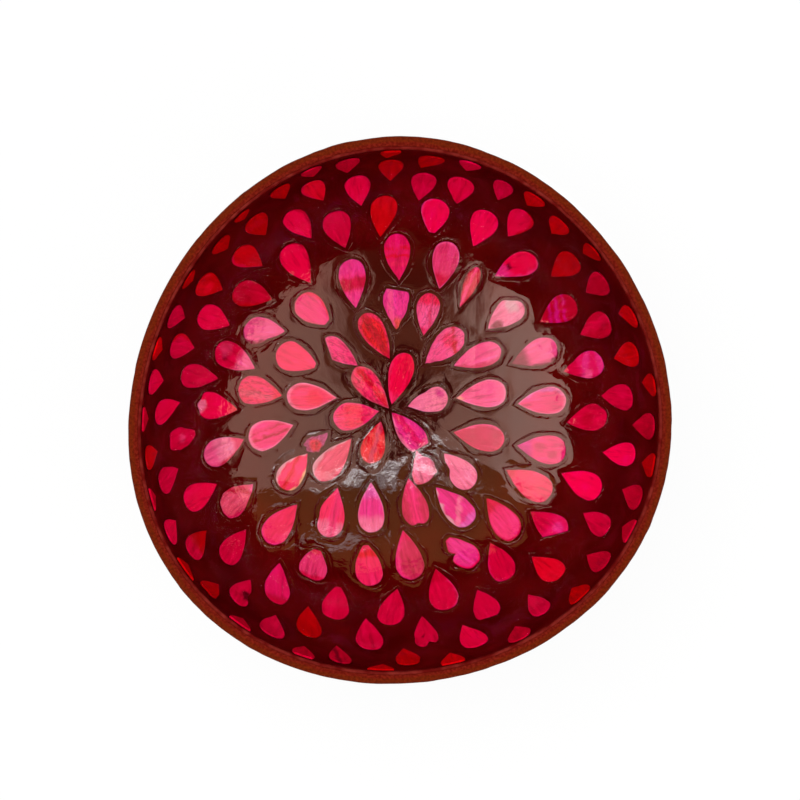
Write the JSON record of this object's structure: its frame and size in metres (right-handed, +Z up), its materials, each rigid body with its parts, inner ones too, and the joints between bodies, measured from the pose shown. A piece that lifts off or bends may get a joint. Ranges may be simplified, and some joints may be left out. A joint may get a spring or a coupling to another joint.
{
  "type": "coconut shell bowl",
  "caption": "Round bowl made of half a coconut shell, lined with dark red lacquer that is inlaid with rings of pink to red mother-of-pearl petals, standing on a flat sanded base.",
  "frame": {"origin": "middle of the bounding box at the level of the flat base", "axes": "+Z up from the base to the open rim, +X to the right and +Y to the top of the picture, which looks down into the bowl"},
  "size_m": [0.1336, 0.1346, 0.06],
  "materials": {
    "coconut_shell": "polished coconut shell, satin",
    "lacquer": "dark red lacquer, gloss",
    "pearl_ring_1": "dyed mother-of-pearl under clear gloss",
    "pearl_ring_2": "dyed mother-of-pearl under clear gloss",
    "pearl_ring_3": "dyed mother-of-pearl under clear gloss",
    "pearl_ring_4": "dyed mother-of-pearl under clear gloss",
    "pearl_ring_5": "dyed mother-of-pearl under clear gloss",
    "pearl_ring_6": "dyed mother-of-pearl under clear gloss",
    "pearl_ring_7": "dyed mother-of-pearl under clear gloss",
    "pearl_ring_8": "dyed mother-of-pearl under clear gloss",
    "pearl_ring_9": "dyed mother-of-pearl under clear gloss"
  },
  "bodies": {
    "root": {"coconut_shell": "coconut_shell", "ground_lacquer": "lacquer", "ring_1_petal_1": "pearl_ring_1", "ring_1_petal_2": "pearl_ring_1", "ring_1_petal_3": "pearl_ring_1", "ring_1_petal_4": "pearl_ring_1", "ring_1_petal_5": "pearl_ring_1", "ring_1_petal_6": "pearl_ring_1", "ring_2_petal_1": "pearl_ring_2", "ring_2_petal_2": "pearl_ring_2", "ring_2_petal_3": "pearl_ring_2", "ring_2_petal_4": "pearl_ring_2", "ring_2_petal_5": "pearl_ring_2", "ring_2_petal_6": "pearl_ring_2", "ring_2_petal_7": "pearl_ring_2", "ring_2_petal_8": "pearl_ring_2", "ring_2_petal_9": "pearl_ring_2", "ring_2_petal_10": "pearl_ring_2", "ring_2_petal_11": "pearl_ring_2", "ring_2_petal_12": "pearl_ring_2", "ring_2_petal_13": "pearl_ring_2", "ring_2_petal_14": "pearl_ring_2", "ring_2_petal_15": "pearl_ring_2", "ring_3_petal_1": "pearl_ring_3", "ring_3_petal_2": "pearl_ring_3", "ring_3_petal_3": "pearl_ring_3", "ring_3_petal_4": "pearl_ring_3", "ring_3_petal_5": "pearl_ring_3", "ring_3_petal_6": "pearl_ring_3", "ring_3_petal_7": "pearl_ring_3", "ring_3_petal_8": "pearl_ring_3", "ring_4_petal_1": "pearl_ring_4", "ring_4_petal_2": "pearl_ring_4", "ring_4_petal_3": "pearl_ring_4", "ring_4_petal_4": "pearl_ring_4", "ring_4_petal_5": "pearl_ring_4", "ring_4_petal_6": "pearl_ring_4", "ring_4_petal_7": "pearl_ring_4", "ring_4_petal_8": "pearl_ring_4", "ring_4_petal_9": "pearl_ring_4", "ring_4_petal_10": "pearl_ring_4", "ring_4_petal_11": "pearl_ring_4", "ring_4_petal_12": "pearl_ring_4", "ring_4_petal_13": "pearl_ring_4", "ring_4_petal_14": "pearl_ring_4", "ring_4_petal_15": "pearl_ring_4", "ring_4_petal_16": "pearl_ring_4", "ring_4_petal_17": "pearl_ring_4", "ring_4_petal_18": "pearl_ring_4", "ring_4_petal_19": "pearl_ring_4", "ring_4_petal_20": "pearl_ring_4", "ring_5_petals": "pearl_ring_5", "ring_6_petals": "pearl_ring_6", "ring_7_petals": "pearl_ring_7", "ring_8_petals": "pearl_ring_8", "ring_9_petals": "pearl_ring_9"}
  },
  "joints": []
}
